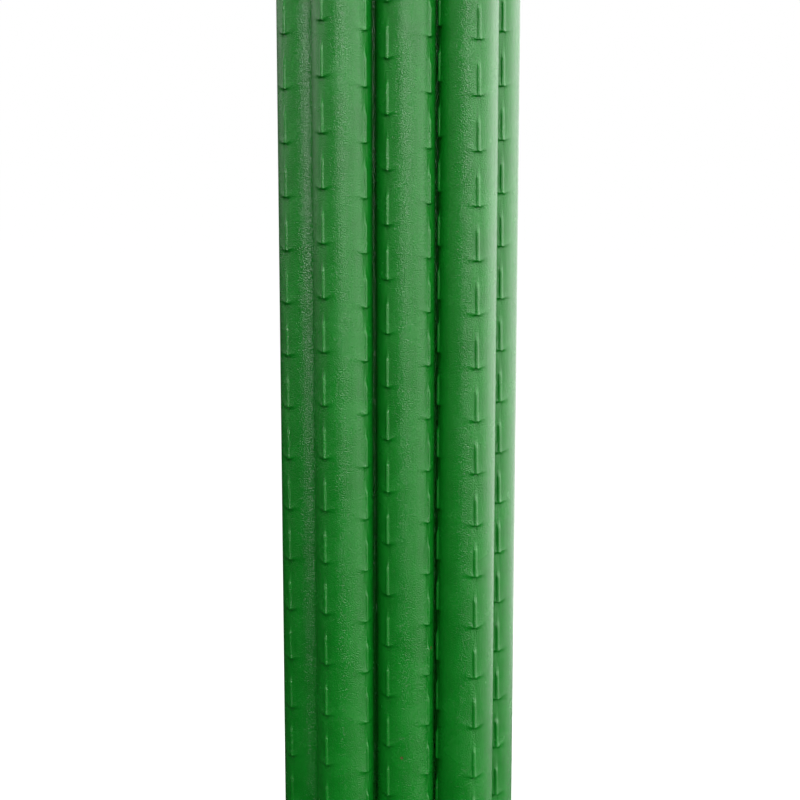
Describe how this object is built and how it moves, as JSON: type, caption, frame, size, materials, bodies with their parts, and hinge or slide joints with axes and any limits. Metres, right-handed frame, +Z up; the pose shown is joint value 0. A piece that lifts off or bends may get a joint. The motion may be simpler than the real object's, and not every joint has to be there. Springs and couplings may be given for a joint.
{
  "type": "bundle of plastic coated steel plant stakes",
  "caption": "Bundle of ribbed, plastic-coated steel garden stakes with pointed ends and domed caps, packed side by side and held by two welded straps.",
  "frame": {"origin": "the bundle's own axis, at the level of the stakes' points", "axes": "+Z runs up along the stakes from their points to their caps, the row of three at -Y is the front, and +X is to the right as seen from the front"},
  "size_m": [0.0692, 0.0478, 0.9],
  "materials": {
    "green_coat": "matt, finely grained polyethylene",
    "green_moulding": "matt moulded plastic, darker green",
    "steel_tube": "bare rolled and welded steel",
    "strap": "milky embossed polypropylene strap"
  },
  "bodies": {
    "straps": {"strap_lower": "strap", "strap_upper": "strap"},
    "stake_01": {"stake_01_tube": "steel_tube", "stake_01_coat": "green_coat", "stake_01_cap": "green_moulding", "stake_01_tip": "green_moulding"},
    "stake_02": {"stake_02_tube": "steel_tube", "stake_02_coat": "green_coat", "stake_02_cap": "green_moulding", "stake_02_tip": "green_moulding"},
    "stake_03": {"stake_03_tube": "steel_tube", "stake_03_coat": "green_coat", "stake_03_cap": "green_moulding", "stake_03_tip": "green_moulding"},
    "stake_04": {"stake_04_tube": "steel_tube", "stake_04_coat": "green_coat", "stake_04_cap": "green_moulding", "stake_04_tip": "green_moulding"},
    "stake_05": {"stake_05_tube": "steel_tube", "stake_05_coat": "green_coat", "stake_05_cap": "green_moulding", "stake_05_tip": "green_moulding"},
    "stake_06": {"stake_06_tube": "steel_tube", "stake_06_coat": "green_coat", "stake_06_cap": "green_moulding", "stake_06_tip": "green_moulding"},
    "stake_07": {"stake_07_tube": "steel_tube", "stake_07_coat": "green_coat", "stake_07_cap": "green_moulding", "stake_07_tip": "green_moulding"},
    "stake_08": {"stake_08_tube": "steel_tube", "stake_08_coat": "green_coat", "stake_08_cap": "green_moulding", "stake_08_tip": "green_moulding"},
    "stake_09": {"stake_09_tube": "steel_tube", "stake_09_coat": "green_coat", "stake_09_cap": "green_moulding", "stake_09_tip": "green_moulding"},
    "stake_10": {"stake_10_tube": "steel_tube", "stake_10_coat": "green_coat", "stake_10_cap": "green_moulding", "stake_10_tip": "green_moulding"}
  },
  "joints": [
    {"name": "stake_01_draw", "type": "slide", "parent": "straps", "child": "stake_01", "axis": [0, 0, 1], "range_m": [0, 0.9]},
    {"name": "stake_02_draw", "type": "slide", "parent": "straps", "child": "stake_02", "axis": [0, 0, 1], "range_m": [0, 0.9]},
    {"name": "stake_03_draw", "type": "slide", "parent": "straps", "child": "stake_03", "axis": [0, 0, 1], "range_m": [0, 0.9]},
    {"name": "stake_04_draw", "type": "slide", "parent": "straps", "child": "stake_04", "axis": [0, 0, 1], "range_m": [0, 0.9]},
    {"name": "stake_05_draw", "type": "slide", "parent": "straps", "child": "stake_05", "axis": [0, 0, 1], "range_m": [0, 0.9]},
    {"name": "stake_06_draw", "type": "slide", "parent": "straps", "child": "stake_06", "axis": [0, 0, 1], "range_m": [0, 0.9]},
    {"name": "stake_07_draw", "type": "slide", "parent": "straps", "child": "stake_07", "axis": [0, 0, 1], "range_m": [0, 0.9]},
    {"name": "stake_08_draw", "type": "slide", "parent": "straps", "child": "stake_08", "axis": [0, 0, 1], "range_m": [0, 0.9]},
    {"name": "stake_09_draw", "type": "slide", "parent": "straps", "child": "stake_09", "axis": [0, 0, 1], "range_m": [0, 0.9]},
    {"name": "stake_10_draw", "type": "slide", "parent": "straps", "child": "stake_10", "axis": [0, 0, 1], "range_m": [0, 0.9]}
  ]
}
